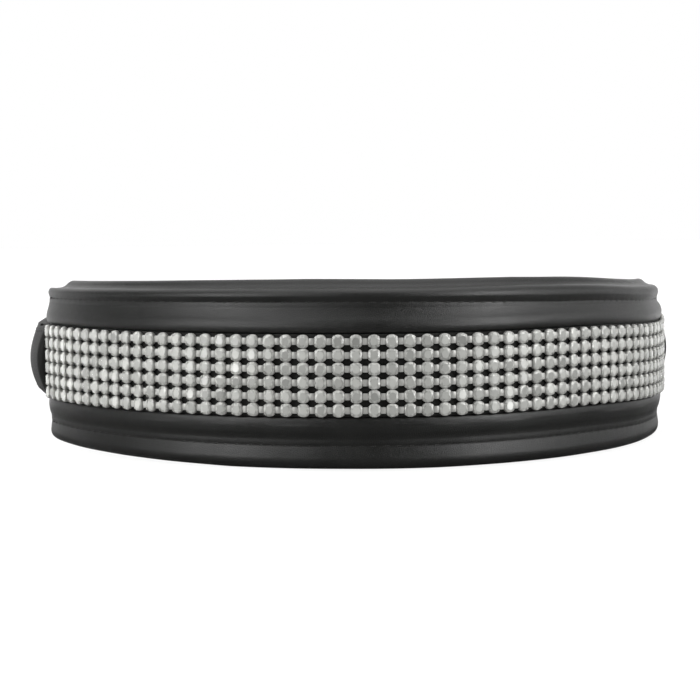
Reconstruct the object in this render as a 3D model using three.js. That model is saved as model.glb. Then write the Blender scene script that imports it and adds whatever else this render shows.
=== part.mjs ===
// A padded browband for a riding bridle: a wide black leather band, bent to the curve of a forehead,
// with rolled edges, six rows of linked crystals inlaid along a raised ridge, and a strap loop at each
// end for the headpiece to pass through. Millimetres, +Z up. The band stands on its lower roll, its
// crystals face -Y and its loops point to +Y. The origin is under the middle of the whole band.
import * as THREE from 'three';

// Shape of the band seen from above, measured along the crystals' backing from the middle outwards.
const frontRadius = 68;        // curve across the forehead
const frontHalfLength = 27;    // half the length that has this radius
const sideRadius = 104.5;      // gentler curve round the temples
const panelHalfLength = 137;   // half the length of the padded panel
const inlayMargin = 10;        // plain end of the ridge past the crystals, covered by the loop's strap
const endStation = 5;          // spacing of the sections near the panel's ends
const midStation = 8.8;        // and along the rest of it
const loopToeIn = 6;           // degrees that each loop turns in where it leaves the panel
const leastSpacing = 1;        // no section stands closer than this to the end of a piece

// Crystal chains.
const rowCount = 6;
const cupWidth = 3.0;
const rowGap = 0.4;            // between one chain's cups and the next
const stonePitch = 4.35;       // from stone to stone along a chain
const linkWidth = 1.3;
const chainHeight = 1.4;
const tapeThickness = 0.3;
const tapeMargin = 0.2;        // tape past the outer cups, above and below

// Leather, padding and thread.
const faceThickness = 1.2;
const liningThickness = 1.0;
const paddingThickness = 4.0;
const lipTop = 0.85;           // the ridge's lips stand this far outside the backing line
const ridgeRise = 1.25;        // from the panel's flat to the top of the lips
const ridgeFlare = 3.2;        // width of the hollow slope on each side of the ridge
const flareFoot = 0.6;         // the slope falls away this close to the lip before it flattens out
const lipWidth = 0.4;
const channelDepth = 1.4;      // the channel's floor is this deep behind the lips
const fillerThickness = 0.9;   // firm strip under the channel, let into the foam
const waistWidthTop = 4.5;     // flat between the ridge and the upper roll
const waistWidthBottom = 2.9;  // and between the ridge and the lower roll
const topRollHeight = 5.2;
const bottomRollHeight = 6.4;
const rollProud = 0.9;         // the rolls stand out this far past the flat
const rollShoulder = 1;        // the roll's front falls back by this where it turns over the edge
const rollCorner = 0.4;
const creaseDepth = 0.5;       // stitched crease between roll and flat
const creaseHalfWidth = 0.8;   // on the outside of the leather
const creaseSpread = 1.2;      // and on its inside
const turnedEdge = 8.6;        // width of face leather turned round to the back, past each crease line
const topTaper = 3.2;          // the panel gets this much lower along its upper edge
const taperStart = 40;
const cornerLength = 10;       // rounded corners at the panel's ends
const cornerDrop = 5.5;
const cornerRoundness = 0.96;  // 1 would bring the corner round until it stands upright
const paddingInset = 5;        // foam, filler and cords stop this far short of the panel's ends
const foamInset = 2;           // and the foam this far short of the crease lines
const foamChamfer = 1;
const threadWidth = 0.6;
const threadHeight = 0.4;
const threadSeat = 0.5;        // underside of the thread above the bottom of the crease

// Straps that make the loops.
const strapThickness = 2.2;
const strapPared = 0.2;        // taken off each face where the strap bends
const strapCrown = 3.0;        // middle of the strap above the backing line, where it lies on the ridge
const strapEdge = 0.6;         // and its two edges
const hingeGap = 11.5;         // bare strap from the panel's end to the line that the loop bends about
const loopReach = 45;          // from that line to the middle of the loop's turn
const eyeWidth = 10;
const eyeStart = 15;           // where the two plies part
const eyeTaper = 9;            // length over which they part
const eyeCorner = 1;           // the eye's blunt narrow end lies this far past the start of the taper
const eyeCornerWidth = 0.8;
const eyeCornerRise = 0.3;     // the strap thickens by this towards the narrow end, where the fold is glued
const lapStart = 5;            // where the folded end is stitched back against the strap
const loopThreadInset = 3;

// Touching pieces keep this clearance.
const gap = 0.3;

// ---- Positions worked out from the sizes above: n is outwards from the crystals' backing, z is up ----
const rowPitch = cupWidth + rowGap;
const bandHalfWidth = ((rowCount - 1) * rowPitch + cupWidth) / 2 + tapeMargin;
const channelHalf = bandHalfWidth + gap;
const lipHalf = channelHalf + lipWidth;
const ridgeHalf = lipHalf + ridgeFlare;
const topCrease = ridgeHalf + waistWidthTop;
const bottomCrease = ridgeHalf + waistWidthBottom;
const topEdge = topCrease + topRollHeight;
const bottomEdge = bottomCrease + bottomRollHeight;
const channelFloor = lipTop - channelDepth;
const flatFace = lipTop - ridgeRise;
const flatInside = flatFace - faceThickness;
const channelInside = channelFloor - faceThickness;
const ridgeInside = ridgeHalf - faceThickness;
const paddingFront = Math.min(flatInside, channelInside) - gap;
const paddingBack = paddingFront - paddingThickness;
const flangeInside = paddingBack - gap;
const panelBack = flangeInside - Math.max(faceThickness, liningThickness);
const tapeBase = channelFloor + gap;
const tapeTop = tapeBase + tapeThickness;
const chainBase = tapeTop + gap;
const chainTop = chainBase + chainHeight;
const stonesPerRow = Math.floor((2 * (panelHalfLength - inlayMargin)) / stonePitch);
const chainHalfLength = (stonesPerRow * stonePitch) / 2;
const strapStart = chainHalfLength + 2 * gap;
const hingeAt = panelHalfLength + hingeGap;
const strapInside = tapeBase;
const strapMiddle = strapInside + strapThickness / 2;
const strapHalfWidth = bandHalfWidth;

// ---- The curve that the band is bent to ----
function planAt(s) {
  const distance = Math.abs(s);
  const frontPart = Math.min(distance, frontHalfLength);
  const frontAngle = frontPart / frontRadius;
  const sideAngle = (distance - frontPart) / sideRadius;
  const angle = frontAngle + sideAngle;
  const x = frontRadius * Math.sin(frontAngle) + sideRadius * (Math.sin(angle) - Math.sin(frontAngle));
  const y = frontRadius * (1 - Math.cos(frontAngle)) + sideRadius * (Math.cos(frontAngle) - Math.cos(angle));
  return { x: Math.sign(s) * x, y, angle: Math.sign(s) * angle };
}

function pointOn(s, n, z) {
  const at = planAt(s);
  return new THREE.Vector3(at.x + n * Math.sin(at.angle), at.y - n * Math.cos(at.angle), z);
}

// Sections stand at even stations, closer together near the panel's rounded ends.
function stationsBetween(from, to) {
  const rounded = panelHalfLength - cornerLength;
  const middle = Math.round((2 * rounded) / midStation);
  const ends = Math.round(cornerLength / endStation);
  const all = [];
  for (let i = ends; i >= 1; i -= 1) all.push(-rounded - (cornerLength * i) / ends);
  for (let i = 0; i <= middle; i += 1) all.push(-rounded + (2 * rounded * i) / middle);
  for (let i = 1; i <= ends; i += 1) all.push(rounded + (cornerLength * i) / ends);
  const inside = all.filter((s) => s > from + leastSpacing && s < to - leastSpacing);
  return [from, ...inside, to];
}

// The panel's outline narrows along its upper edge and rounds off at its ends.
function trimmedHeight(s, z) {
  if (Math.abs(z) <= ridgeHalf) return z;
  const along = Math.max(0, Math.abs(s) - taperStart) / (panelHalfLength - taperStart);
  const intoCorner = Math.max(0, Math.abs(s) - (panelHalfLength - cornerLength)) / cornerLength;
  const corner = cornerDrop * (1 - Math.sqrt(1 - cornerRoundness * Math.min(1, intoCorner) ** 2));
  const drop = corner + (z > 0 ? topTaper * along * along : 0);
  const edge = z > 0 ? topEdge : bottomEdge;
  const share = (Math.abs(z) - ridgeHalf) / (edge - ridgeHalf);
  return z - Math.sign(z) * drop * share;
}

// Sweeps a section, drawn with n to the right and z up, along the bent band, from its right end to its left.
const unchanged = (s, n, z) => [n, z];

function sweep(section, from, to, change = unchanged) {
  return sweepStations(section, stationsBetween(from, to), change);
}

function sweepStations(section, stations, change) {
  const steps = stations.length - 1;
  const geometry = new THREE.ExtrudeGeometry(section, {
    depth: steps, steps, bevelEnabled: false, curveSegments: 3,
  });
  const place = geometry.getAttribute('position');
  for (let i = 0; i < place.count; i += 1) {
    const s = stations[steps - Math.round(place.getZ(i))];
    const [n, z] = change(s, place.getX(i), place.getY(i));
    const point = pointOn(s, n, z);
    place.setXYZ(i, point.x, point.y, point.z);
  }
  geometry.computeVertexNormals();
  return geometry;
}

const trimmed = (s, n, z) => [n, trimmedHeight(s, z)];

function rectangle(n0, n1, z0, z1) {
  const shape = new THREE.Shape();
  shape.moveTo(n0, z0);
  shape.lineTo(n1, z0);
  shape.lineTo(n1, z1);
  shape.lineTo(n0, z1);
  shape.closePath();
  return shape;
}

function oval(n, z, halfDepth, halfHeight, sides) {
  const points = Array.from({ length: sides }, (_, i) => {
    const turn = ((i + 0.5) / sides) * 2 * Math.PI;
    return new THREE.Vector2(n + halfDepth * Math.cos(turn), z + halfHeight * Math.sin(turn));
  });
  return new THREE.Shape(points);
}

// ---- Materials ----
const finish = (name, color, roughness, metalness) =>
  new THREE.MeshStandardMaterial({ name, color, roughness, metalness });

const leather = () => finish('black_leather', 0x1b1b1a, 0.42, 0);
const softLeather = () => finish('lining_leather', 0x232120, 0.7, 0);
const foam = () => finish('foam', 0x3a3a3a, 0.95, 0);
const cotton = () => finish('cotton_cord', 0xb8b0a0, 0.9, 0);
const thread = () => finish('black_thread', 0x141414, 0.6, 0);
const tape = () => finish('backing_tape', 0x26251f, 0.9, 0);
const crystal = () => finish('crystal_chain', 0xd9dcd6, 0.12, 0.3);

const browband = new THREE.Group();

function addPiece(name, geometry, material, parent = browband) {
  const piece = new THREE.Mesh(geometry, material);
  piece.name = name;
  parent.add(piece);
  return piece;
}

// ---- Panel: face leather moulded over the ridge, its edges rolled and turned to the back ----
function halfFaceOutline(side) {
  const crease = side > 0 ? topCrease : bottomCrease;
  const edge = side > 0 ? topEdge : bottomEdge;
  const rollMiddle = (crease + edge) / 2;
  const rollBack = (panelBack + flatFace) / 2;
  const flangeEnd = crease - (turnedEdge - (edge - crease));
  const half = new THREE.Path();
  half.moveTo(channelFloor, side * channelHalf);
  half.lineTo(lipTop, side * channelHalf);
  half.lineTo(lipTop, side * lipHalf);
  half.quadraticCurveTo(flatFace, side * (lipHalf + flareFoot), flatFace, side * ridgeHalf);
  half.lineTo(flatFace, side * (crease - creaseHalfWidth));
  half.lineTo(flatFace - creaseDepth, side * crease);
  const shoulder = flatFace - rollShoulder;
  half.quadraticCurveTo(flatFace + 2 * rollProud, side * rollMiddle, shoulder, side * (edge - rollCorner));
  half.lineTo(shoulder - rollShoulder, side * edge);
  half.lineTo(rollBack, side * edge);
  half.quadraticCurveTo(panelBack, side * edge, panelBack, side * rollMiddle);
  half.lineTo(panelBack, side * flangeEnd);
  half.lineTo(flangeInside, side * flangeEnd);
  half.lineTo(flangeInside, side * rollMiddle);
  const edgeInside = edge - faceThickness;
  half.quadraticCurveTo(flangeInside, side * edgeInside, rollBack, side * edgeInside);
  half.lineTo(flatInside - rollCorner, side * (edgeInside - rollCorner));
  half.lineTo(flatInside, side * (crease + creaseSpread));
  half.lineTo(flatInside - creaseDepth, side * crease);
  half.lineTo(flatInside, side * (crease - creaseSpread));
  half.lineTo(flatInside, side * ridgeInside);
  half.lineTo(channelInside, side * (channelHalf - faceThickness / 2));
  return half.getPoints(2);
}

const faceSection = new THREE.Shape([...halfFaceOutline(1), ...halfFaceOutline(-1).reverse()]);
addPiece('panel_face', sweep(faceSection, -panelHalfLength, panelHalfLength, trimmed), leather());

const flangeTop = topCrease - (turnedEdge - topRollHeight);
const flangeBottom = bottomCrease - (turnedEdge - bottomRollHeight);
const liningTop = flangeTop - 2 * gap;
const liningBottom = flangeBottom - 2 * gap;
const liningSection = rectangle(flangeInside - liningThickness, flangeInside, -liningBottom, liningTop);
addPiece('panel_lining', sweep(liningSection, -panelHalfLength, panelHalfLength, trimmed), softLeather());

// Foam lies between the two cords that fill the rolls. A recess in its front holds a firmer strip, which
// keeps the channel's floor flat.
const foamTop = topCrease - foamInset;
const foamBottom = foamInset - bottomCrease;
const chamferBack = paddingFront - foamChamfer;
const fillerHalf = channelHalf - faceThickness / 2 - gap;
const fillerBack = paddingFront - fillerThickness;
const recessHalf = fillerHalf + gap;
const recessFloor = fillerBack - gap;
const foamShape = new THREE.Shape([
  [paddingFront, foamBottom + foamChamfer], [paddingFront, -recessHalf], [recessFloor, -recessHalf],
  [recessFloor, recessHalf], [paddingFront, recessHalf], [paddingFront, foamTop - foamChamfer],
  [chamferBack, foamTop], [paddingBack, foamTop], [paddingBack, foamBottom], [chamferBack, foamBottom],
].map(([n, z]) => new THREE.Vector2(n, z)));
const paddingHalfLength = panelHalfLength - paddingInset;
addPiece('foam_pad', sweep(foamShape, -paddingHalfLength, paddingHalfLength, trimmed), foam());

const cordFront = flatInside - creaseDepth - gap;
const cordBack = flangeInside + gap;
const cordSides = 6;
function rollCord(name, side, crease, edge) {
  const inner = crease - 2 * gap;
  const outer = edge - faceThickness - 3 * gap;
  const middle = (side * (inner + outer)) / 2;
  const depth = (cordFront - cordBack) / 2;
  const section = oval((cordFront + cordBack) / 2, middle, depth, (outer - inner) / 2, cordSides);
  addPiece(name, sweep(section, -paddingHalfLength, paddingHalfLength, trimmed), cotton());
}
rollCord('upper_roll_cord', 1, topCrease, topEdge);
rollCord('lower_roll_cord', -1, bottomCrease, bottomEdge);

const fillerSection = rectangle(fillerBack, paddingFront, -fillerHalf, fillerHalf);
addPiece('ridge_filler', sweep(fillerSection, -paddingHalfLength, paddingHalfLength), foam());

// ---- Crystals: six chains of linked cups, side by side on a backing tape in the ridge's channel ----
const tapeSection = rectangle(tapeBase, tapeTop, -bandHalfWidth, bandHalfWidth);
addPiece('crystal_tape', sweep(tapeSection, -chainHalfLength, chainHalfLength), tape());

function chainGeometry(height) {
  const stationsPerStone = 3;
  const count = stonesPerRow * stationsPerStone;
  const stations = Array.from({ length: count + 1 }, (_, i) => -chainHalfLength + (i * stonePitch) / stationsPerStone);
  const atLink = (s) => Math.round(((s + chainHalfLength) / stonePitch) * stationsPerStone) % stationsPerStone === 0;
  const section = rectangle(chainBase, chainTop, -cupWidth / 2, cupWidth / 2);
  const narrowed = (s, n, z) => [n, height + z * (atLink(s) ? linkWidth / cupWidth : 1)];
  return sweepStations(section, stations, narrowed);
}
for (let row = 0; row < rowCount; row += 1) {
  const height = ((rowCount - 1) / 2 - row) * rowPitch;
  addPiece(`crystal_chain_row_${row + 1}`, chainGeometry(height), crystal());
}

// ---- Stitching that holds face, padding and lining together along both creases ----
function creaseStitching(name, side, crease) {
  const base = flatFace - creaseDepth + threadSeat;
  const middle = side * crease;
  const section = rectangle(base, base + threadHeight, middle - threadWidth / 2, middle + threadWidth / 2);
  addPiece(name, sweep(section, -paddingHalfLength, paddingHalfLength, trimmed), thread());
}
creaseStitching('upper_crease_stitching', 1, topCrease);
creaseStitching('lower_crease_stitching', -1, bottomCrease);

// ---- Strap ends and loops, one at each end of the band ----
function strapEndGeometry(side) {
  const ways = 8;
  const crown = Array.from({ length: ways + 1 }, (_, i) => {
    const z = strapHalfWidth * (1 - (2 * i) / ways);
    const fall = (z / strapHalfWidth) ** 2;
    return new THREE.Vector2(strapCrown - (strapCrown - strapEdge) * fall, z);
  });
  const base = [new THREE.Vector2(strapInside, -strapHalfWidth), new THREE.Vector2(strapInside, strapHalfWidth)];
  const section = new THREE.Shape([...crown, ...base]);
  const from = strapStart;
  const to = hingeAt - strapThickness / 2 - gap;
  return side > 0 ? sweep(section, from, to) : sweep(section, -to, -from);
}

// Seen from above, x runs on past the bending line and y towards the inside of the right-hand end.
function loopShape(side) {
  const half = strapThickness / 2;
  const turn = (eyeWidth + strapThickness) / 2;
  const outline = new THREE.Path();
  outline.absarc(0, 0, half - strapPared, Math.PI / 2, 1.5 * Math.PI, false);
  outline.absarc(loopReach, turn, turn + half, -Math.PI / 2, Math.PI / 2, false);
  outline.lineTo(eyeStart + eyeTaper, 2 * turn + half);
  outline.lineTo(eyeStart, half + strapThickness);
  outline.lineTo(lapStart, half + strapThickness);
  outline.lineTo(lapStart, half - strapPared);
  const eye = new THREE.Path();
  eye.absarc(loopReach, turn, turn - half, -Math.PI / 2, Math.PI / 2, false);
  eye.lineTo(eyeStart + eyeTaper, 2 * turn - half);
  eye.lineTo(eyeStart + eyeCorner, half + eyeCornerRise + eyeCornerWidth);
  eye.lineTo(eyeStart + eyeCorner, half + eyeCornerRise);
  eye.lineTo(eyeStart + eyeTaper, half);
  const handed = (path) => {
    const points = path.getPoints(8).map((p) => new THREE.Vector2(p.x, side * p.y));
    return side > 0 ? points : points.reverse();
  };
  const shape = new THREE.Shape(handed(outline));
  shape.holes.push(new THREE.Path(handed(eye)));
  return shape;
}

function addLoop(name, side) {
  addPiece(`${name}_strap_end`, strapEndGeometry(side), leather());
  const loop = new THREE.Group();
  loop.position.copy(pointOn(side * hingeAt, strapMiddle, 0));
  const turned = planAt(side * hingeAt).angle + (side * loopToeIn * Math.PI) / 180;
  loop.rotation.z = side > 0 ? turned : turned + Math.PI;
  browband.add(loop);
  const ring = new THREE.ExtrudeGeometry(loopShape(side), { depth: 2 * strapHalfWidth, bevelEnabled: false });
  ring.translate(0, 0, -strapHalfWidth);
  addPiece(`${name}_loop`, ring, leather(), loop);
  const lapFace = strapThickness * 1.5 + gap;
  const seam = new THREE.BoxGeometry(threadWidth, threadHeight, 2 * (strapHalfWidth - loopThreadInset));
  seam.translate((lapStart + eyeStart) / 2, side * (lapFace + threadHeight / 2), 0);
  addPiece(`${name}_loop_stitching`, seam, thread(), loop);
}
addLoop('left', -1);
addLoop('right', 1);

// ---- Stand the band on its lower roll, with the origin under the middle of its box ----
browband.updateMatrixWorld(true);
const box = new THREE.Box3().setFromObject(browband, true);
browband.position.set(-(box.min.x + box.max.x) / 2, -(box.min.y + box.max.y) / 2, -box.min.z);

export default browband;
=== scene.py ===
import math

import bmesh
import bpy
import numpy as np
from mathutils import Matrix, Vector
from mathutils.geometry import tessellate_polygon


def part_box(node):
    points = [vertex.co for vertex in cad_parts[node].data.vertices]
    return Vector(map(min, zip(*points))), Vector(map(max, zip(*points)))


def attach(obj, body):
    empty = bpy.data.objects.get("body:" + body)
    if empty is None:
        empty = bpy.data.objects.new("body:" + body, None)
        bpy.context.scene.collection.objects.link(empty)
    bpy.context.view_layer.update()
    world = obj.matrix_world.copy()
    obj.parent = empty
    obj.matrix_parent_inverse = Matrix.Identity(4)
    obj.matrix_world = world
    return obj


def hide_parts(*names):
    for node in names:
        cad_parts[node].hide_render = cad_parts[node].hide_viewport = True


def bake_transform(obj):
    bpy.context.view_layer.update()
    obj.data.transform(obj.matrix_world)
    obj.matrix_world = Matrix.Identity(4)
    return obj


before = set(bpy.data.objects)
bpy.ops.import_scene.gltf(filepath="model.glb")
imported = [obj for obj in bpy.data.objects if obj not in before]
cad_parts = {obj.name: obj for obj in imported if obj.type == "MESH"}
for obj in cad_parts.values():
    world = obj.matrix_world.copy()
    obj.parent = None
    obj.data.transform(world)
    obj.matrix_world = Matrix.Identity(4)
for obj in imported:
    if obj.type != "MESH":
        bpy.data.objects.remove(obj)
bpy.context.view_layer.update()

# A browband, the strap of a bridle that crosses the horse's forehead: padded, with six rows of crystals.

# ---- Face leather ------------------------------------------------------------------------------------
# One piece of black bridle leather, moulded over a filler so that a ridge with hollow sides runs along
# the band. Its long edges are rolled over cords, turned to the back and sewn down in a crease; at each
# end of the band front and back close in a seam.

mm = 0.001                 # sizes below are in millimetres, and bent() turns them into metres
tape_low, tape_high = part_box("crystal_tape")
face_low, face_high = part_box("panel_face")
tape_front = 0.05          # how far the tape's front is out from the line that the bend is measured on
front_y = tape_low.y + tape_front * mm
middle_z = (tape_low.z + tape_high.z) / 2
front_radius, front_half, side_radius = 68, 27, 104.5
panel_half = 137


def bent(along, out, up):
    """Where a point of the flat band lies once the band is bent: along it from the middle, out from the
    crystals' backing, and up from the middle of its height."""
    along, out, up = np.broadcast_arrays(*(np.asarray(v, float) for v in (along, out, up)))
    reach = np.abs(along)
    front = np.minimum(reach, front_half)
    front_turn = front / front_radius
    turn = front_turn + (reach - front) / side_radius
    across = front_radius * np.sin(front_turn) + side_radius * (np.sin(turn) - np.sin(front_turn))
    back = front_radius * (1 - np.cos(front_turn)) + side_radius * (np.cos(front_turn) - np.cos(turn))
    x = np.sign(along) * (across + out * np.sin(turn))
    y = back - out * np.cos(turn)
    return np.stack([x * mm, front_y + y * mm, middle_z + up * mm], axis=-1)


def eased(share):
    """A share, kept between 0 and 1, that starts and ends gently."""
    share = np.clip(share, 0, 1)
    return share * share * (3 - 2 * share)


settled_by = 1.15
settled_from, settled_over = 45, 55        # where along the band it starts, and over what length
held_from, held_over = 108, 16             # near the strap the channel is held in line again,
held_below, held_fade = 16, 4              # but not the upper roll above it
foot_up, foot_over = -23.4, 9              # and the foot below stays where it is


def settled(along, up):
    """The right-hand temple of the band has settled a little: its ridge is lower there, its foot is not,
    and the channel is back in line where it meets the strap."""
    held = np.clip((along - held_from) / held_over, 0, 1) * np.clip((held_below - up) / held_fade, 0, 1)
    above_foot = np.clip((up - foot_up) / foot_over, 0, 1)
    return up - settled_by * eased((along - settled_from) / settled_over) * (1 - eased(held)) * above_foot


def closed_piece(name, points, faces, material, smooth=True):
    """An object from points in metres and its faces, with every face turned outwards."""
    mesh = bpy.data.meshes.new(name)
    mesh.from_pydata(np.asarray(points, float).tolist(), [], [list(map(int, face)) for face in faces])
    shape = bmesh.new()
    shape.from_mesh(mesh)
    bmesh.ops.recalc_face_normals(shape, faces=shape.faces)
    shape.to_mesh(mesh)
    shape.free()
    mesh.shade_smooth() if smooth else mesh.shade_flat()
    mesh.materials.append(material)
    piece = bpy.data.objects.new(name, mesh)
    bpy.context.scene.collection.objects.link(piece)
    return piece


def skin_faces(sections, around, outline):
    """Faces of a solid made of so many sections of so many points, its two ends filled to the outline."""
    i, j = np.meshgrid(np.arange(sections - 1), np.arange(around), indexing="ij")
    here, beside = i * around + j, i * around + (j + 1) % around
    faces = np.stack([here, beside, beside + around, here + around], axis=-1).reshape(-1, 4).tolist()
    for end, first in ((0, 0), (-1, (sections - 1) * around)):
        flat = [Vector((out, up, 0)) for out, up in outline[end]]
        faces += [[first + k for k in triangle] for triangle in tessellate_polygon([flat])]
    return faces


def bow(start, pull, end, count):
    """Points of a curve from start towards end, drawn to one side by pull. The end itself is left out."""
    t = np.linspace(0, 1, count, endpoint=False)[:, None]
    start, pull, end = (np.array(p, float) for p in (start, pull, end))
    return (start * (1 - t) ** 2 + 2 * pull * t * (1 - t) + end * t ** 2).tolist()


def oval_part(centre, depth, height, first, last, count):
    """Points of a squared-off oval between two angles: 0 is outwards and 90 is up."""
    turn = np.radians(np.linspace(first, last, count, endpoint=False))
    squared = 0.86         # 1 would be a true oval
    out = centre[0] + depth * np.sign(np.cos(turn)) * np.abs(np.cos(turn)) ** squared
    up = centre[1] + height * np.sign(np.sin(turn)) * np.abs(np.sin(turn)) ** squared
    return np.stack([out, up], axis=-1).tolist()


leather_thick = 1.2
channel_floor, channel_half = -0.55, 10.35
lip_middle = 12.1          # the rounded lips stand out here
waist_hollow = 0.25
crease_front, crease_deep, crease_half = -0.4, 0.16, 1.3
roll_front, panel_back = -0.05, -7.55
top_crease, bottom_crease = 18.1, 17.5
top_edge = (face_high.z - middle_z) / mm
bottom_edge = (middle_z - face_low.z) / mm
turned_edge = 8.6          # leather taken round to the back, counted from the crease
back_inside = panel_back + leather_thick
flat_inside, channel_inside = -1.6, -1.75
roll_back = -3.95          # the leather's inside turns to the back here


def turned_to(crease, edge):
    """How far from the band's middle the turned edge ends at the back."""
    return crease - (turned_edge - (edge - crease))


def half_outside(crease, edge, lip_top, rise, roll):
    """The leather's outside from the channel over lip, waist and roll to its turned edge. rise is how far
    past the crease the roll bulges, and roll holds its points from its front to the top of its back."""
    crease_bottom = crease_front - crease_deep
    roll_middle = (crease + edge) / 2
    turned_end = turned_to(crease, edge)
    waist_end = crease - crease_half
    points = [(channel_floor, 3.5), (channel_floor, 7.0), (channel_floor, channel_half - 0.2)]
    points += bow((channel_floor + 0.1, channel_half), (0, channel_half), (0.2, channel_half + 0.1), 3)
    points += bow((0.2, channel_half + 0.1), (lip_top, channel_half + 0.45), (lip_top, lip_middle), 9)
    waist_out = (lip_top + crease_front) / 2 - waist_hollow
    waist_start = lip_middle + 2.2
    points += bow((lip_top, lip_middle), (lip_top, lip_middle + 0.9), (waist_out + 0.3, waist_start), 7)
    points += bow((waist_out + 0.3, waist_start), (waist_out - 0.25, (waist_start + waist_end) / 2 + 0.4),
                  (crease_front, waist_end), 8)
    points += bow((crease_front, waist_end), (crease_front - 0.02, crease - 0.4),
                  (crease_bottom, crease - 0.02), 6)
    nose, crest = roll[0], roll[-1][0]
    points += bow((crease_bottom, crease + 0.02), (nose[0] - 0.15, crease + rise), nose, 10)
    points += roll[:-1]
    points += oval_part((crest, roll_middle), crest - panel_back, edge - roll_middle, 90, 180, 10)
    seam_bottom = panel_back + 0.4
    points += bow((panel_back, roll_middle), (panel_back, crease + 0.3), (seam_bottom, crease), 7)
    points += bow((seam_bottom, crease), (panel_back, crease - 0.3), (panel_back, crease - 1.3), 6)
    points += bow((panel_back, turned_end + 0.5), (panel_back, turned_end),
                  (panel_back + 0.4, turned_end), 4)
    return points


def half_inside(crease, edge, front_edge):
    """The leather's inside, from the turned edge back to the channel. It clears the cords and the foam.
    front_edge is how high the roll is inside, near its front."""
    roll_middle = (crease + edge) / 2
    edge_inside = edge - leather_thick
    points = [(back_inside, turned_to(crease, edge)), (back_inside, crease)]
    points += bow((back_inside, roll_middle), (back_inside, edge_inside), (roll_back - 0.6, edge_inside), 4)
    points += [(roll_back, front_edge), (flat_inside - 0.4, front_edge - 0.4), (flat_inside, crease + 1.2),
               (flat_inside - 0.5, crease), (flat_inside, crease - 1.2),
               (flat_inside, 12.9), (channel_inside, 9.9), (channel_inside, 3.5)]
    return points


# The upper roll has a rounded front and a higher, narrow back, where the turned leather stands up.
top_roll = bow((roll_front, 19.6), (roll_front, 21.45), (-2.2, 21.6), 14)
top_roll += bow((-2.2, 21.6), (-3.4, 21.85), (-4.1, 22.7), 8)
top_roll += bow((-4.1, 22.7), (-4.8, top_edge), (-5.8, top_edge), 9) + [(-5.8, top_edge)]
bottom_front, bottom_crest, bottom_middle = -0.1, -2.8, 20.6
bottom_roll = oval_part((bottom_crest, bottom_middle), bottom_front - bottom_crest,
                        bottom_edge - bottom_middle, 0, 90, 18)
bottom_roll.append((bottom_crest, bottom_edge))
top_outside = np.array(half_outside(top_crease, top_edge, 0.88, 0.9, top_roll))
bottom_outside = np.array(half_outside(bottom_crease, bottom_edge, 0.5, 1.7, bottom_roll)) * (1, -1)
top_inside = np.array(half_inside(top_crease, top_edge, 21.2))
bottom_inside = np.array(half_inside(bottom_crease, bottom_edge, bottom_edge - leather_thick)) * (1, -1)
face_outline = np.concatenate([bottom_outside[::-1], top_outside, top_inside, bottom_inside[::-1]])
inset = np.concatenate([np.zeros(len(bottom_outside) + len(top_outside)),
                        np.full(len(top_inside) + len(bottom_inside), leather_thick)])

# The band is sewn by hand, so its two ends differ, and its right half isn't quite like its left.
top_start, left_top, right_top = 30, 1.75, 2.2     # from here along, the upper edge drops by so much
bottom_start, left_bottom = 50, 1.7                # and so does the lower one, at the left only
uneven_top, uneven_top_from = 0.35, -45            # the right half's upper edge lies lower,
uneven_crease, uneven_crease_top = 1.0, 21.5       # and so does its upper crease, less so higher up
uneven_over = 40           # the length that both come on over
fixed_half = 14.1          # below this height nothing is trimmed
corner_length, corner_drop, corner_share = 2.4, 2.0, 0.96    # nearly a quarter round
back_end, back_fade, back_drop = 121.0, 6.0, 2.3   # the high back of the upper roll stops before the end
back_low = 21.3            # it stands up from here


def trimmed(along, up):
    """The panel gets lower towards its ends, most along its upper edge, and its corners are rounded."""
    reach = np.abs(along)
    past_top = np.clip((reach - top_start) / (panel_half - top_start), 0, 1)
    past_bottom = np.clip((reach - bottom_start) / (panel_half - bottom_start), 0, 1)
    right_half = np.clip((along - uneven_top_from) / uneven_over, 0, 1)
    top = np.where(along > 0, right_top, left_top) * past_top + uneven_top * right_half
    bottom = np.where(along > 0, 0, left_bottom) * past_bottom
    corner = np.clip((reach - panel_half + corner_length) / corner_length, 0, 1)
    drop = corner_drop * (1 - np.sqrt(1 - corner_share * corner ** 2)) + np.where(up > 0, top, bottom)
    edge = np.where(up > 0, top_edge, bottom_edge)
    share = np.clip((np.abs(up) - fixed_half) / (edge - fixed_half), 0, None)
    at_crease = np.interp(up, [fixed_half, top_crease, uneven_crease_top], [0, 1, 0])
    lower_crease = uneven_crease * np.clip(along / uneven_over, 0, 1) * at_crease
    high_back = np.clip((up - back_low) / (top_edge - back_low), 0, 1)
    ending = back_drop * eased((reach - back_end) / back_fade) * high_back
    return settled(along, up - np.sign(up) * drop * share - ending - lower_crease)


end_round, end_seam = 18.0, -3.8           # the length that an end closes over, and where out its seam lies
least_outside, least_inside = 0.15, 0.02   # the shares of the thickness that are left at the seam


def closed_ends(along, out, inset):
    """Front and back come together at the end seam. inset is the depth below the outside of the panel."""
    left = (panel_half - inset - np.abs(along)) / (end_round - inset)
    full = np.sqrt(1 - (1 - np.clip(left, 0, 1)) ** 2)
    least = np.where(inset > 0, least_inside, least_outside)
    return end_seam + (out - end_seam) * np.maximum(full, least)


def unevenness(along, up, size, seed):
    """Slow bumps and hollows of hand-worked leather, from -1 to 1, about so many millimetres across."""
    chance = np.random.default_rng(seed)
    waves = [np.sin(along * a + up * b + c)
             for a, b, c in zip(chance.normal(0, 2.2 / size, 7), chance.normal(0, 2.2 / size, 7),
                                chance.uniform(0, 2 * math.pi, 7))]
    return sum(waves) / 4


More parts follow.
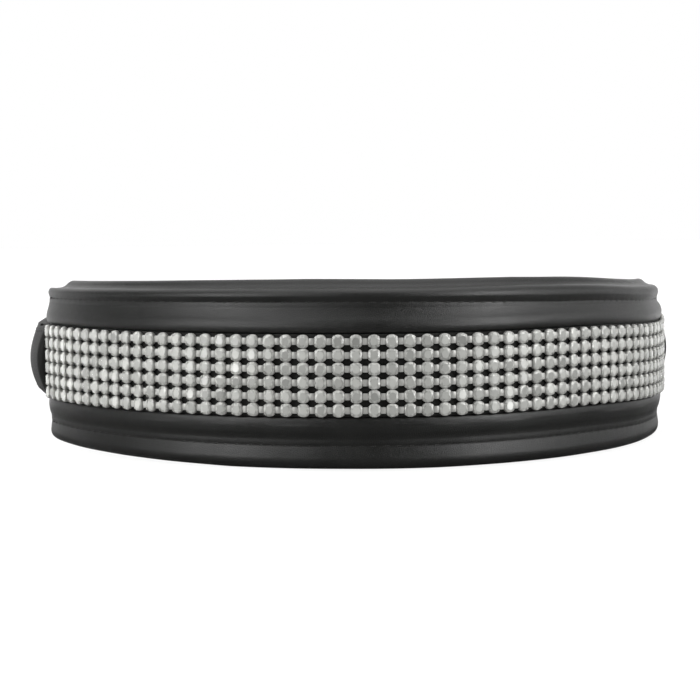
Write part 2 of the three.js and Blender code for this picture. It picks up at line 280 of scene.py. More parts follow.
stitch_pitch = 3.2
pull_width, pull_depth = 0.8, 0.02         # the stitches draw the crease in a little at their holes
wave_out, wave_up = 0.07, 0.06
section_step = 0.75
panel_along = np.arange(-panel_half, panel_half + 0.01, section_step)[:, None]
out, up = face_outline[None, :, 0], face_outline[None, :, 1]
on_face = (inset == 0) & (np.abs(face_outline[:, 1]) > lip_middle)
wave = np.where(on_face, unevenness(panel_along, up + 3 * out, 11, 4), 0)
crease_at = np.where(up > 0, top_crease, -bottom_crease)
near_crease = np.exp(-((up - crease_at) / pull_width) ** 2) * on_face
pull = near_crease * np.cos(2 * math.pi * panel_along / stitch_pitch)
front_side = np.where(out > end_seam, 1, -1)
out = out + wave_out * wave - pull_depth * pull * front_side
along = panel_along * (1 - inset / panel_half)
out = closed_ends(along, out, inset)
up = trimmed(along, up + wave_up * np.where(on_face, unevenness(panel_along, out, 17, 5), 0))
face_sections = np.stack([out, up], axis=-1)


def fill(tree, shader, values):
    """Sets a node's inputs. Each value is a number or colour, or the output that the input is joined to."""
    for socket, value in values.items():
        if isinstance(value, bpy.types.NodeSocket):
            tree.links.new(value, shader.inputs[socket])
        else:
            shader.inputs[socket].default_value = value


def node(tree, kind, values, result, **settings):
    """Adds a shader node of that kind, fills it in and gives its output of that name."""
    made = tree.nodes.new("ShaderNode" + kind)
    for setting, value in settings.items():
        setattr(made, setting, value)
    fill(tree, made, values)
    return made.outputs[result]


def sum_of(tree, operation, *values, **settings):
    """The result of one sum, such as ADD, MULTIPLY or MAXIMUM, on numbers and outputs."""
    return node(tree, "Math", dict(enumerate(values)), "Value", operation=operation, **settings)


def ramp(tree, value, start, end, low=0, high=1):
    """Runs from low to high as the value goes from start to end."""
    return node(tree, "MapRange", {"Value": value, "From Min": start, "From Max": end,
                                   "To Min": low, "To Max": high}, "Result")


def tones(tree, share, dark, light):
    """A colour between two, by share."""
    return node(tree, "Mix", {"Factor": share, "A": (*dark, 1), "B": (*light, 1)}, "Result",
                data_type="RGBA")


def new_finish(name):
    """A new material, its node tree and the shader that the tree ends in."""
    material = bpy.data.materials.new(name)
    material.use_nodes = True
    return material, material.node_tree, material.node_tree.nodes["Principled BSDF"]


def leather(name, dark, light, smooth, rough, grain, depth):
    """Pigmented leather. The grain is a net of cells with finer pores in it, its size and depth in
    millimetres, and some parts of the surface are duller and paler from handling."""
    material, tree, shader = new_finish(name)
    place = node(tree, "TexCoord", {}, "Object")
    warp = node(tree, "TexNoise", {"Vector": place, "Scale": 0.45 / (grain * mm), "Detail": 2}, "Color")
    shifted = node(tree, "VectorMath", {0: warp, 1: (0.9 * grain * mm,) * 3, 2: place}, "Vector",
                   operation="MULTIPLY_ADD")
    cells = node(tree, "TexVoronoi", {"Vector": shifted, "Scale": 1 / (grain * mm)}, "Distance",
                 feature="DISTANCE_TO_EDGE")
    pores = node(tree, "TexNoise", {"Vector": place, "Scale": 3.4 / (grain * mm), "Detail": 3}, "Fac")
    height = sum_of(tree, "MULTIPLY_ADD", pores, 0.6, ramp(tree, cells, 0, 0.16))
    handled = node(tree, "TexNoise", {"Vector": place, "Scale": 70, "Detail": 5, "Roughness": 0.6}, "Fac")
    fill(tree, shader, {
        "Base Color": tones(tree, handled, dark, light),
        "Roughness": ramp(tree, handled, 0.3, 0.7, smooth, rough),
        "Normal": node(tree, "Bump", {"Height": height, "Strength": 1, "Distance": depth * mm}, "Normal"),
        "IOR": 1.46,
        "Sheen Weight": 0.02,
        "Sheen Roughness": 0.25,
    })
    return material


black, worn_black = (0.0055, 0.0056, 0.0052), (0.0110, 0.0112, 0.0104)
black_leather = leather("black bridle leather", black, worn_black, 0.28, 0.40, grain=0.42, depth=0.02)
face = closed_piece("face_leather", bent(along, out, up).reshape(-1, 3),
                    skin_faces(*out.shape, face_sections), black_leather)
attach(face, "band")
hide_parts("panel_face")

# ---- Lining ------------------------------------------------------------------------------------------
# A strip of thin, soft leather that lies against the horse, let in between the turned edges of the face
# leather. It is on the inside of the bend, so it is pushed up into small wrinkles across its width.

lining_gap = 0.35          # between it and the turned edges
lining_top = turned_to(top_crease, top_edge) - lining_gap
lining_bottom = turned_to(bottom_crease, bottom_edge) - lining_gap
lining_thick = 1.0
lining_swell = 0.5         # the middle of the strip stands back over the foam
lining_middle = (lining_top - lining_bottom) / 2
lining_half = (lining_top + lining_bottom) / 2
edge_drop, edge_from = 0.45, 0.93          # its edges fall away so far, from this share of its half width
back_points, hidden_points = 31, 9
across = np.linspace(-1, 1, back_points)
swell = 1 - across ** 4
lining_up = lining_middle + lining_half * across
lining_back = back_inside - lining_thick - lining_swell * swell
edge_fall = edge_drop * np.clip((np.abs(across) - edge_from) / (1 - edge_from), 0, 1) ** 2
lining_outline = np.concatenate([
    np.stack([lining_back + edge_fall, lining_up], axis=-1),
    np.stack([np.full(hidden_points, back_inside),
              np.linspace(lining_top, -lining_bottom, hidden_points)], axis=-1),
])
lining_inset = np.repeat([0, leather_thick], [back_points, hidden_points])
out, up = lining_outline[None, :, 0], lining_outline[None, :, 1]
lining_wave = 0.12
wrinkle_end, wrinkle_pitch = 125, 4.7
chance = np.random.default_rng(11)
wrinkles = np.zeros(np.broadcast_shapes(panel_along.shape, up.shape))
for at in np.arange(-wrinkle_end, wrinkle_end + 1, wrinkle_pitch):
    place = at + chance.uniform(-1.6, 1.6)
    lean = chance.normal(0, 0.10)
    reach = chance.uniform(5, 14)
    middle = chance.uniform(-6, 6)
    deep = chance.uniform(0.05, 0.20)
    wide = chance.uniform(0.5, 0.9)
    wrinkles += deep * (np.exp(-((panel_along - place - lean * (up - middle)) / wide) ** 2)
                        * np.exp(-((up - middle) / reach) ** 4))
waves = lining_wave * unevenness(panel_along, up, 9, 21) * np.append(swell, np.zeros(hidden_points))
out = out + np.where(lining_inset == 0, wrinkles + waves, 0)
along = panel_along * (1 - lining_inset / panel_half)
out = closed_ends(along, out, lining_inset)
up = trimmed(along, up + 0 * along)
lining_leather = leather("soft lining leather", (0.013, 0.0125, 0.0115), (0.022, 0.021, 0.019),
                         0.50, 0.62, grain=0.6, depth=0.03)
lining = closed_piece("lining", bent(along, out, up).reshape(-1, 3),
                      skin_faces(*out.shape, np.stack([out, up], axis=-1)), lining_leather)
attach(lining, "band")
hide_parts("panel_lining")

# ---- Foam, filler and cords --------------------------------------------------------------------------
# Inside the panel: a strip of closed-cell foam behind the flat, a firmer strip that fills the ridge, and
# a twisted cotton cord in each roll. They are cut to length, laid in and glued before the leather is closed.
# The cords follow the rolls as the panel gets lower towards its ends.


def relief(tree, shader, height, depth):
    """Gives a finish its relief, so many millimetres deep."""
    fill(tree, shader, {"Normal": node(tree, "Bump", {"Height": height, "Distance": depth * mm}, "Normal")})


def padding(name, colour, cell):
    """Foam with small closed cells, each so many millimetres wide and darker at its walls."""
    material, tree, shader = new_finish(name)
    place = node(tree, "TexCoord", {}, "Object")
    cells = node(tree, "TexVoronoi", {"Vector": place, "Scale": 1 / (cell * mm)}, "Distance")
    relief(tree, shader, cells, 0.15)
    fill(tree, shader, {"Base Color": tones(tree, cells, colour, [0.6 * c for c in colour]),
                        "Roughness": 0.95})
    return material


rib_scale = 0.32 / mm      # with this scale the waves of a wave texture are 1 mm apart


def twisted(name, colour, rough, strand):
    """Spun thread or cord: strands laid round it at a slant, each so many millimetres wide."""
    material, tree, shader = new_finish(name)
    place = node(tree, "TexCoord", {}, "Object")
    strands = node(tree, "TexWave", {"Vector": place, "Scale": rib_scale / strand, "Distortion": 0.6},
                   "Fac", bands_direction="DIAGONAL")
    relief(tree, shader, strands, 0.25 * strand)
    # The colour is darker in the grooves between the strands, where the relief is lowest: painted shade.
    fill(tree, shader, {"Base Color": tones(tree, strands, [0.55 * c for c in colour], colour),
                        "Roughness": rough})
    return material


def refinish(name, material):
    """Gives a piece that keeps its plain shape its finish."""
    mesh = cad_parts[name].data
    mesh.materials.clear()
    mesh.materials.append(material)


grey_foam = padding("closed-cell foam", (0.045, 0.045, 0.045), 0.5)
firm_foam = padding("firm filler", (0.07, 0.065, 0.055), 0.3)
cotton = twisted("twisted cotton cord", (0.52, 0.47, 0.38), 0.9, 0.9)
refinish("foam_pad", grey_foam)
refinish("ridge_filler", firm_foam)

cord_half = panel_half - 5
cord_step, cord_points = 1.1, 18
strand_groove, strand_turn = 0.16, 0.55    # share of the cord's size, and its twist for each millimetre


def laid_cord(name, centre, depth, height):
    """Three strands twisted together, squeezed oval in the roll."""
    along = np.arange(-cord_half, cord_half + 0.01, cord_step)[:, None]
    turns = np.linspace(0, 2 * math.pi, cord_points, endpoint=False)[None, :]
    strands = 1 - strand_groove * np.abs(np.sin(1.5 * turns + along * strand_turn))
    out = centre[0] + depth * strands * np.cos(turns)
    up = trimmed(along, centre[1] + height * strands * np.sin(turns))
    faces = skin_faces(*out.shape, np.stack([out, up], axis=-1))
    piece = closed_piece(name, bent(along, out, up).reshape(-1, 3), faces, cotton)
    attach(piece, "band")
    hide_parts(name)


laid_cord("upper_roll_cord", (-4.5, 20.1), 1.4, 1.0)
laid_cord("lower_roll_cord", (-4.3, -19.8), 1.6, 1.5)

# ---- Backing tape ------------------------------------------------------------------------------------
# Black woven tape that the crystal chains are glued to side by side before the whole inlay is laid in
# the ridge's channel. It shows only as the dark ground between the stones.


def woven(name, colour, thread):
    """Plain weave: two sets of ribs, one along the band and one up it, so many millimetres apart."""
    material, tree, shader = new_finish(name)
    place = node(tree, "TexCoord", {}, "Object")
    ribs = [node(tree, "TexWave", {"Vector": place, "Scale": rib_scale / thread}, "Fac",
                 bands_direction=direction) for direction in ("X", "Z")]
    cloth = sum_of(tree, "MULTIPLY", *ribs)
    relief(tree, shader, cloth, 0.05)
    # The colour is darker where the ribs dip, in the hollows between the threads: painted shade.
    fill(tree, shader, {"Base Color": tones(tree, cloth, [0.5 * c for c in colour], colour),
                        "Roughness": 0.9})
    return material


refinish("crystal_tape", woven("black woven tape", (0.02, 0.02, 0.018), 0.35))

# ---- Crystal chains ----------------------------------------------------------------------------------
# Six chains of cut glass stones. Each stone is foiled at the back and held in a plated brass cup by four
# prongs bent over its edge, and a short plated link joins each cup to the next.

row_count = 6
row_pitch = 3.4
stone_pitch = 4.35
stones_per_row = 58
cup_radius = 1.69
cup_base, cup_rim = 0.36, 1.27
girdle_radius, girdle_out, girdle_thick = 1.62, 1.38, 0.1
table_radius, table_out = 1.02, 1.67
meet_radius, meet_out = 1.32, 1.57         # where the facets between table and girdle meet
point_out = 0.62
squareness, narrowness = 2.5, 0.88         # 2 and 1 would make round stones

# Turns round a stone, by eighths and by sixteenths.
eighth = np.arange(8) * math.pi / 4
sixteenth = np.arange(16) * math.pi / 8


def ring(radius, out, turns):
    """Corners round a stone or cup, as along, out and up from its middle. Both are rounded squares."""
    around, above = np.cos(turns), np.sin(turns)
    squared = radius / (np.abs(around) ** squareness + np.abs(above) ** squareness) ** (1 / squareness)
    return np.stack([narrowness * squared * around, 0 * turns + out, squared * above], axis=-1)


# A stone's corners: the table, the row where the facets meet, the girdle's two edges, the point behind.
stone_points = np.concatenate([
    ring(table_radius, table_out, eighth), ring(meet_radius, meet_out, eighth + math.pi / 8),
    ring(girdle_radius, girdle_out, sixteenth), ring(girdle_radius, girdle_out - girdle_thick, sixteenth),
    [[0, point_out, 0]],
])
meet_first, edge_first, under_first, back_point = 8, 16, 32, 48
stone_faces = [list(range(8))]
for k in range(8):
    following, before = (k + 1) % 8, (k - 1) % 8
    stone_faces.append([k, following, meet_first + k])
    stone_faces.append([k, meet_first + k, edge_first + 2 * k, meet_first + before])
    stone_faces.append([meet_first + k, edge_first + 2 * k + 1, edge_first + 2 * k])
    stone_faces.append([meet_first + k, edge_first + 2 * following, edge_first + 2 * k + 1])
for k in range(16):
    following = (k + 1) % 16
    stone_faces.append([edge_first + k, edge_first + following, under_first + following, under_first + k])
    stone_faces.append([under_first + k, under_first + following, back_point])


def ringed_faces(rings, around):
    """Faces of a closed shape made of so many rings of so many corners: its two ends, then its wall."""
    faces = [list(range(around)), list(range(around * (rings - 1), around * rings))]
    for first in range(0, around * (rings - 1), around):
        for k in range(around):
            beside = (k + 1) % around
            faces.append([first + k, first + beside, first + around + beside, first + around + k])
    return faces


# A cup has one profile all round, from its floor over the rim and back inside, as (radius, out).
cup_profile = [(1.40, cup_base), (1.58, cup_base + 0.06), (cup_radius, cup_base + 0.25), (cup_radius, 1.12),
               (1.64, cup_rim - 0.04), (1.59, cup_rim), (1.52, cup_rim - 0.06), (1.48, 1.12), (0.9, 0.56)]
cup_points = np.concatenate([ring(radius, out, sixteenth) for radius, out in cup_profile])
cup_faces = ringed_faces(len(cup_profile), 16)

# A prong is a small claw from the cup's wall over the stone's edge, as (radius, out) outside and inside.
prong_line = [((1.72, 0.90), (1.52, 0.90)), ((1.73, 1.30), (1.52, 1.28)), ((1.66, 1.53), (1.49, 1.42)),
              ((1.46, 1.66), (1.36, 1.52)), ((1.24, 1.72), (1.24, 1.60))]
prong_half_width = [0.32, 0.32, 0.29, 0.25, 0.18]


def prong(turn):
    """One claw at that turn round the cup: points and faces."""
    points = []
    for (outer, inner), half in zip(prong_line, prong_half_width):
        for (radius, out), side in ((outer, -1), (outer, 1), (inner, 1), (inner, -1)):
            points.append([radius * math.cos(turn) - side * half * math.sin(turn), out,
                           radius * math.sin(turn) + side * half * math.cos(turn)])
    return points, ringed_faces(len(prong_line), 4)


# A link is a flat bar with rounded edges, bowed out a little between the slots in two cups.
link_half_width, link_thick, link_out, link_bow = 0.82, 0.36, 1.00, 0.14
link_ends, link_rings = 1.50, 5
link_points, link_faces = [], ringed_faces(link_rings, 8)
for at in np.linspace(link_ends, stone_pitch - link_ends, link_rings):
    rise = link_bow * math.sin(math.pi * (at - link_ends) / (stone_pitch - 2 * link_ends))
    for turn in eighth + math.pi / 8:
        flat = link_thick / 2 * math.sin(turn) / math.sin(3 * math.pi / 8)
        link_points.append([at, link_out + rise + flat,
                            link_half_width * math.cos(turn) / math.cos(math.pi / 8)])


def several(shapes):
    """Joins shapes, each its points and faces, into one list of points and one of faces."""
    points, faces = [], []
    for shape_points, shape_faces in shapes:
        faces += [[len(points) + k for k in face] for face in shape_faces]
        points += np.asarray(shape_points, float).tolist()
    return np.array(points), faces


def cut_glass():
    """Foiled glass, softly shining from its backing under a clear, hard surface. Each stone has a random
    tone of its own, and each facet a random lighter or darker one on top: painted glints and painted dark
    facets, in place of the differing light that each facet reflects."""
    material, tree, shader = new_finish("foiled cut glass")
    stone_tone_and_glint = node(tree, "Attribute", {}, "Fac", attribute_name="facet")
    fill(tree, shader, {"Base Color": tones(tree, stone_tone_and_glint, (0.19, 0.192, 0.181), (0.47, 0.474, 0.449)),
                        "Metallic": 0.15, "Roughness": 0.35,
                        "Coat Weight": 1.0, "Coat Roughness": 0.10, "Coat IOR": 1.55})
    return material


def plated():
    """Plated metal with fine marks from tumbling and tools, in which it is a little paler and duller."""
    material, tree, shader = new_finish("bright plating")
    place = node(tree, "TexCoord", {}, "Object")
    marks = node(tree, "TexNoise", {"Vector": place, "Scale": 1500, "Detail": 3}, "Fac")
    fill(tree, shader, {"Base Color": tones(tree, marks, (0.32, 0.32, 0.305), (0.42, 0.42, 0.40)),
                        "Roughness": ramp(tree, marks, 0, 1, 0.35, 0.55),
                        "Metallic": 0.4})
    return material


glass, plating = cut_glass(), plated()
lean_spread = 0.035        # no stone sits quite straight in its cup
stone_share = 0.35         # how much of a facet's tone its whole stone shares
middles = (np.arange(stones_per_row) - (stones_per_row - 1) / 2) * stone_pitch
chance = np.random.default_rng(5)
cup_shapes = [(cup_points, cup_faces)] + [prong(math.pi * (k + 0.5) / 2) for k in range(4)]
for row in range(row_count):
    row_up = ((row_count - 1) / 2 - row) * row_pitch
    stones, cups, shades = [], [], []
    for number, middle in enumerate(middles):
        lean = chance.normal(0, lean_spread, 2)
        # a random tone for the whole stone, then for each facet a painted glint or painted dark facet, at
        # random
        shade = stone_share * chance.uniform(0, 1)
        shade = shade + (1 - stone_share) * chance.uniform(0, 1, len(stone_faces))
        x, z = stone_points[:, 0], stone_points[:, 2]
        y = stone_points[:, 1] + lean[0] * x + lean[1] * z
        stones.append((np.stack([x + middle, y, z + row_up], axis=-1), stone_faces))
        shades += shade.tolist()
        place = np.array([middle, 0, row_up])
        cups += [(np.asarray(points) + place, faces) for points, faces in cup_shapes]
        if number + 1 < stones_per_row:
            cups.append((np.asarray(link_points) + place, link_faces))
    points, faces = several(stones)
    points[:, 2] = settled(points[:, 0], points[:, 2])
    stone_row = closed_piece(f"crystals_row_{row + 1}", bent(*points.T), faces, glass, smooth=False)
    stone_row.data.attributes.new("facet", "FLOAT", "FACE").data.foreach_set("value", shades)
    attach(stone_row, "band")
    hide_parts(f"crystal_chain_row_{row + 1}")
    points, faces = several(cups)
    points[:, 2] = settled(points[:, 0], points[:, 2])
    cup_row = closed_piece(f"cup_chain_row_{row + 1}", bent(*points.T), faces, plating)
    cup_row.data.set_sharp_from_angle(angle=math.radians(40))
    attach(cup_row, "band")

# ---- Crease stitching --------------------------------------------------------------------------------
# Waxed black thread, sewn through face, foam and lining along both creases. Each stitch lies in the
# crease in front, dives through its hole and shows again as a stitch on the turned edge at the back.

thread_radius = 0.22
stitch_length, stitch_sink, stitch_rings = 2.75, 0.55, 9
stitch_slant = 0.10
bedded_front, bedded_back = 0.12, 0.25     # how deep the thread lies in the crease and in the turned edge
stitches_each_way = 40     # from the band's middle


def stitch(middle, out, up, direction, facing=1):
    """One stitch: a short length of thread, arched, its two ends going down into their holes. direction is
    how far along and up it runs for each millimetre, and facing is -1 on a back surface."""
    share = np.linspace(-1, 1, stitch_rings)
    places = share * stitch_length / 2
    heights = -stitch_sink * np.abs(share) ** 4
    radii = thread_radius * (1 - 0.25 * share ** 6)
    points = []
    for place, height, radius in zip(places, heights, radii):
        for turn in eighth:
            across = radius * math.cos(turn)
            points.append([middle + place * direction[0] - across * direction[1],
                           out + facing * (height + radius * math.sin(turn)),
                           up + place * direction[1] + across * direction[0]])
    return points, ringed_faces(stitch_rings, len(eighth))


black_thread = twisted("waxed black thread", (0.014, 0.014, 0.013), 0.5, 0.22)
slanted = (math.cos(stitch_slant), math.sin(stitch_slant))
stitch_at = (np.arange(-stitches_each_way, stitches_each_way) + 0.5) * stitch_pitch
for name, crease in (("upper", top_crease), ("lower", -bottom_crease)):
    shapes = []
    for out, facing in ((crease_front - crease_deep - bedded_front, 1), (panel_back + bedded_back, -1)):
        shapes += [stitch(along, out, up, slanted, facing)
                   for along, up in zip(stitch_at, trimmed(stitch_at, crease + 0 * stitch_at))]
    points, faces = several(shapes)
    seam = closed_piece(f"{name}_crease_stitches", bent(*points.T), faces, black_thread)
    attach(seam, "band")
    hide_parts(f"{name}_crease_stitching")

# ---- Straps and loops --------------------------------------------------------------------------------
# One length of plain bridle leather at each end. It is domed where it lies in the channel against the
# crystals, runs on past the panel, and is folded back on itself and sewn to make the loop.

strap_start, hinge_at = 126.75, 148.5      # along the band
strap_thick, strap_half = 2.2, 9.9
strap_inside = -0.25       # its flesh side is this far out from the line that the bend is measured on
crown, crown_edge = 3.30, 0.58             # thickness on the ridge, in its middle and at its edges
crown_to, crown_fade = 12, 12              # from its start, how far the crown goes on, and its fading length
domed_to, domed_fade = 24, 18
pared, pared_over = 0.8, 14                # it is pared narrower by so much on each side
toe_in = math.radians(6)
reach_out, turn_radius = 45, 6.1           # the loop's far turn, past the hinge
fold_back, taper_to, lap_end = 26, 15, 5   # where the folded ply starts to come in, lies close, and ends
lap_depth = 2.28           # from ply to ply, middle to middle, where the fold is sewn


def strap_thickness(travelled, width_share):
    """The strap is thickest in its middle beside the crystals, and stays domed, with thin edges, as far as
    the loop."""
    highest = strap_thick + (crown - strap_thick) * eased(1 - (travelled - crown_to) / crown_fade)
    dome = highest - (highest - crown_edge) * width_share ** 2
    plain = strap_thick * (1 - 0.28 * np.abs(width_share) ** 8)
    domed = eased(1 - (travelled - domed_to) / domed_fade)
    return dome * domed + plain * (1 - domed)


def half_across(travelled):
    """Half the strap's width: it is pared a little narrower between the crystals and the loop."""
    return strap_half - pared * eased(travelled / pared_over)


def strap_path():
    """The strap's middle line for the right-hand end, in steps of about a millimetre: how far past the hinge
    and how far inwards, in the loop's own directions."""
    inner = 2 * turn_radius
    line = [(past, 0.0) for past in np.arange(0, reach_out, 1.0)]
    line += [(reach_out + turn_radius * math.sin(turn), turn_radius * (1 - math.cos(turn)))
             for turn in np.linspace(0, math.pi, 28)]
    line += [(past, inner) for past in np.arange(reach_out - 1, fold_back + 0.5, -1.0)]
    line += [(fold_back - (fold_back - taper_to) * share, inner + (lap_depth - inner) * eased(share))
             for share in np.linspace(0, 1, 16)]
    line += [(past, lap_depth) for past in np.arange(taper_to - 1, lap_end - 0.5, -1.0)]
    return np.array(line)


upwards = np.array([0, 0, 1.0])
hinge = bent(hinge_at, strap_inside + strap_thick / 2, 0)
ahead = bent(hinge_at + 1, strap_inside + strap_thick / 2, 0) - hinge
heading = math.atan2(ahead[1], ahead[0]) + toe_in
onward = np.array([math.cos(heading), math.sin(heading), 0])
inward = np.array([-math.sin(heading), math.cos(heading), 0])


def beyond_hinge(past, inside, up=0.0):
    """A point past the right-hand hinge, in metres: so far past it, towards the loop's inside, and up."""
    past, inside, up = (np.asarray(v, float)[..., None] * mm for v in (past, inside, up))
    return hinge + past * onward + inside * inward + up * upwards


on_band = np.arange(strap_start, hinge_at - 3, 0.8)
past_hinge = strap_path()[2:]
line = np.concatenate([bent(on_band, strap_inside + strap_thick / 2, 0 * on_band),
                       beyond_hinge(past_hinge[:, 0], past_hinge[:, 1])])
line = np.concatenate([line[:1], (line[:-2] + 2 * line[1:-1] + line[2:]) / 4, line[-1:]])
steps = np.linalg.norm(np.diff(line, axis=0), axis=1)
travel = np.append(0, np.cumsum(steps))[:, None] / mm
forward = np.gradient(line, axis=0)
forward /= np.linalg.norm(forward, axis=1)[:, None]
outward = np.cross(forward, upwards)

# The section: a grain side with rounded edges and a creaser's groove beside each, and a flat flesh side.
groove_at, groove_wide, groove_deep = 0.86, 0.025, 0.10
rounded_from, edge_left = 0.955, 0.35      # the edges are rounded down to a share of the thickness
butt_length, skive_length, skived_by = 2.0, 11, 0.62     # its rounded start, and its end pared thin
strap_wave = 0.05
width_share = np.sin(np.linspace(-math.pi / 2, math.pi / 2, 25))
flesh_share = np.linspace(0.97, -0.97, 11)
butt = np.sqrt(1 - (1 - np.clip((travel + 0.35) / butt_length, 0, 1)) ** 2)
skived = 1 - skived_by * np.clip((travel - (travel[-1] - skive_length)) / skive_length, 0, 1)
at_edge = np.clip((np.abs(width_share) - rounded_from) / (1 - rounded_from), 0, 1)
rounding = edge_left + (1 - edge_left) * np.sqrt(1 - at_edge ** 2)
groove = groove_deep * np.exp(-((np.abs(width_share) - groove_at) / groove_wide) ** 2)
thick = strap_thickness(travel, width_share) * skived * butt * rounding - groove
thick = thick + strap_wave * unevenness(travel, width_share * strap_half, 9, 31)
offsets = np.hstack([thick, np.zeros((len(line), len(flesh_share)))]) - strap_thick / 2
heights = np.append(width_share, flesh_share) * half_across(travel)
sections = line[:, None] + mm * (offsets[..., None] * outward[:, None] + heights[..., None] * upwards)
end_outline = np.stack([np.append(1.1 - 0.5 * width_share ** 2, -np.ones(len(flesh_share))),
                        np.append(width_share, flesh_share)], axis=-1)
strap_faces = skin_faces(*sections.shape[:2], [end_outline, end_outline])

strap_leather = leather("bridle strap leather", black, worn_black, 0.42, 0.52, grain=0.36, depth=0.015)
fill(strap_leather.node_tree, strap_leather.node_tree.nodes["Principled BSDF"],
     {"Specular IOR Level": 0.16, "Sheen Weight": 0})


def mirrored(points, side):
    """The same points for the right-hand end, side 1, or the left-hand end, side -1."""
    return np.asarray(points, float) * np.array([side, 1, 1])


for side, hand in ((-1, "left"), (1, "right")):
    strap = closed_piece(f"{hand}_strap_and_loop", mirrored(sections.reshape(-1, 3), side),
                         strap_faces, strap_leather)
    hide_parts(f"{hand}_strap_end", f"{hand}_loop")
    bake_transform(strap)

# ---- Loop and strap stitching ------------------------------------------------------------------------
# Waxed black thread. The fold is closed by a box of stitches through both plies, seen on both faces of
# the strap, and a row along each edge of the strap sews it down on the ridge.

box_near, box_far, box_half = 6.6, 13.4, 7.4
standing = 0.08            # how far the thread's middle stands off the loop's leather,
bedded_strap = 0.05        # and how deep it lies in the strap's, on the ridge
skived_off = 0.55          # the folded ply is thinner by this under its stitches
row_from, row_to, row_share = 132.2, 144, 0.84     # along the band, and the share of the strap's half width


def loop_stitches():
    """Stitches round the box, on the outer face and on the folded ply, in the loop's own directions."""
    shapes = []
    inner = lap_depth + strap_thick / 2 - skived_off
    ups = np.arange(-2, 3) * stitch_pitch
    pasts = (box_near + box_far) / 2 + np.array([-0.5, 0.5]) * stitch_pitch
    for depth, facing in ((strap_thick / 2, 1), (-inner, -1)):
        out = depth + standing * facing
        for past in (box_near, box_far):
            shapes += [stitch(past, out, up, (0.0, 1.0), facing) for up in ups]
        for up in (-box_half, box_half):
            shapes += [stitch(past, out, up, (1.0, 0.0), facing) for past in pasts]
    return several(shapes)


points, faces = loop_stitches()
travelled = hinge_at - strap_start + points[:, 0]
sunk = strap_thick - strap_thickness(travelled, points[:, 2] / half_across(travelled))
points[:, 1] -= np.where(points[:, 1] > 0, sunk, 0)
placed = beyond_hinge(points[:, 0], -points[:, 1], points[:, 2])
shapes = []
for along in np.arange(row_from, row_to, stitch_pitch):
    edge_up = row_share * half_across(along - strap_start)
    surface = strap_inside + strap_thickness(along - strap_start, row_share)
    shapes += [stitch(along, surface - bedded_strap, up, (1.0, 0.0)) for up in (-edge_up, edge_up)]
down_points, down_faces = several(shapes)
for side, hand in ((-1, "left"), (1, "right")):
    box = closed_piece(f"{hand}_loop_stitches", mirrored(placed, side), faces, black_thread)
    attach(box, f"{hand}_end")
    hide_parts(f"{hand}_loop_stitching")
    row = closed_piece(f"{hand}_strap_stitches", mirrored(bent(*down_points.T), side), down_faces,
                       black_thread)
    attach(row, "band")

# ---- Studio ------------------------------------------------------------------------------------------
# A white sweep, a large soft lamp overhead and one on each side of the camera, which leaves the front of
# the black leather dark between their reflections. Pale panels beside and behind the band light its two
# ends. The camera has a long lens and stands a little above the band.

scene = bpy.context.scene
scene.view_settings.view_transform = "Standard"

camera_data = bpy.data.cameras.new("camera")
camera_data.sensor_width = 36
camera_data.lens = 101.85
camera = bpy.data.objects.new("camera", camera_data)
camera_place = Vector((-0.0998, -0.5507, 0.0620))
turn_right, tip_down, roll = math.radians(9.88), math.radians(3.803), math.radians(-0.572)
camera.matrix_world = (Matrix.Translation(camera_place)
                       @ Matrix.Rotation(-turn_right, 4, "Z")
                       @ Matrix.Rotation(math.pi / 2 - tip_down, 4, "X")
                       @ Matrix.Rotation(roll, 4, "Z"))
scene.collection.objects.link(camera)
scene.camera = camera

lamp_target, lamp_distance = Vector((0, -0.02, 0.03)), 0.9


def softbox(name, azimuth, elevation, size, watts):
    """A rectangular lamp that faces the band. Azimuth 0 is straight in front of it and 90 to its right."""
    lamp = bpy.data.lights.new(name, "AREA")
    lamp.shape = "RECTANGLE"
    lamp.size, lamp.size_y = size
    lamp.energy = watts
    holder = bpy.data.objects.new(name, lamp)
    around, above = math.radians(azimuth), math.radians(elevation)
    level = math.cos(above)
    direction = Vector((math.sin(around) * level, -math.cos(around) * level, math.sin(above)))
    holder.location = lamp_target + lamp_distance * direction
    holder.rotation_euler = direction.to_track_quat("Z", "Y").to_euler()
    scene.collection.objects.link(holder)


softbox("overhead lamp", 0, 85, (1.5, 1.5), 11)
softbox("left lamp", -64, 12, (0.36, 0.7), 5.0)
softbox("right lamp", 46, 12, (0.40, 0.7), 6.4)


def seen_by(tree):
    """The rays that see the studio: from the camera, from mirrors and glass, and from matt surfaces."""
    rays = tree.nodes.new("ShaderNodeLightPath").outputs
    mirrors = sum_of(tree, "ADD", rays["Is Glossy Ray"], rays["Is Transmission Ray"])
    return rays["Is Camera Ray"], mirrors, rays["Is Diffuse Ray"]


def split(tree, vector):
    """The X, Y and Z outputs of a direction or place."""
    parts = tree.nodes.new("ShaderNodeSeparateXYZ")
    tree.links.new(vector, parts.inputs["Vector"])
    return parts.outputs


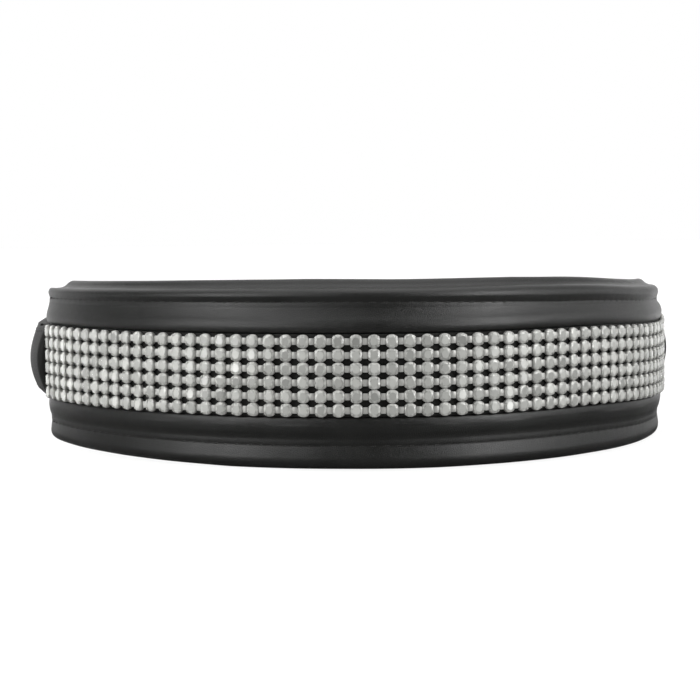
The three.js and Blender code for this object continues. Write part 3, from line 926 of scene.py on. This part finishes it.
# The camera sees white all round. Mirrors and glass see it only behind the band, and a dim room elsewhere
# that gets paler to the right. Matt surfaces also get the light of the panels.
panel_back_share, panel_light = 0.6, 24.0
world = bpy.data.worlds.new("studio")
scene.world = world
world.use_nodes = True
tree = world.node_tree
camera_sees, mirrors_see, matt_sees = seen_by(tree)
direction = split(tree, node(tree, "TexCoord", {}, "Generated"))
sweep_in_mirrors = sum_of(tree, "MULTIPLY", mirrors_see, ramp(tree, direction["Y"], 0.58, 0.85))
white_share = sum_of(tree, "ADD", camera_sees, sweep_in_mirrors, use_clamp=True)
beside_behind = sum_of(tree, "MULTIPLY_ADD", direction["Y"], panel_back_share,
                       sum_of(tree, "ABSOLUTE", direction["X"]))
panels = sum_of(tree, "MULTIPLY", ramp(tree, beside_behind, 0.90, 1.16, 0, panel_light), matt_sees)
dim_room = sum_of(tree, "ADD", ramp(tree, direction["X"], 0.5, 0.95, 0.05, 0.95), panels)
fill(tree, tree.nodes["Background"], {"Color": (1, 1, 1, 1),
                                      "Strength": ramp(tree, white_share, 0, 1, dim_room, 1)})

# The floor is near white to the camera, and whiter further away. Mirrors see it behind the band, and its
# own grey is dark, so that it reflects little light up at the leather. To matt surfaces it glows, though
# it is no lamp, and so lights the band from below.
floor_half = 4.0
floor_mesh = bpy.data.meshes.new("floor")
corners = [(x * floor_half, y * floor_half, 0) for x, y in ((-1, -1), (1, -1), (1, 1), (-1, 1))]
floor_mesh.from_pydata(corners, [], [(0, 1, 2, 3)])
floor = bpy.data.objects.new("floor", floor_mesh)
floor.location.z = -0.0002     # just clear of the band's underside
scene.collection.objects.link(floor)
paper, tree, shader = new_finish("white paper")
camera_sees, mirrors_see, matt_sees = seen_by(tree)
place = node(tree, "NewGeometry", {}, "Position")
away = node(tree, "VectorMath", {0: place}, "Value", operation="LENGTH")
to_camera = sum_of(tree, "MULTIPLY", camera_sees, ramp(tree, away, 0.15, 0.7, 0.90))
# a glow that matt surfaces see, lighting the band from below as if the floor were a lamp
to_matt = sum_of(tree, "MULTIPLY", matt_sees, 0.75)
to_mirrors = sum_of(tree, "MULTIPLY", mirrors_see, ramp(tree, split(tree, place)["Y"], 0.0, 0.3))
glow = sum_of(tree, "MAXIMUM", sum_of(tree, "ADD", to_camera, to_matt), to_mirrors)
fill(tree, shader, {"Base Color": (0.10, 0.10, 0.10, 1), "Roughness": 1, "Specular IOR Level": 0,
                    "Emission Color": (1, 1, 1, 1), "Emission Strength": glow})
floor_mesh.materials.append(paper)
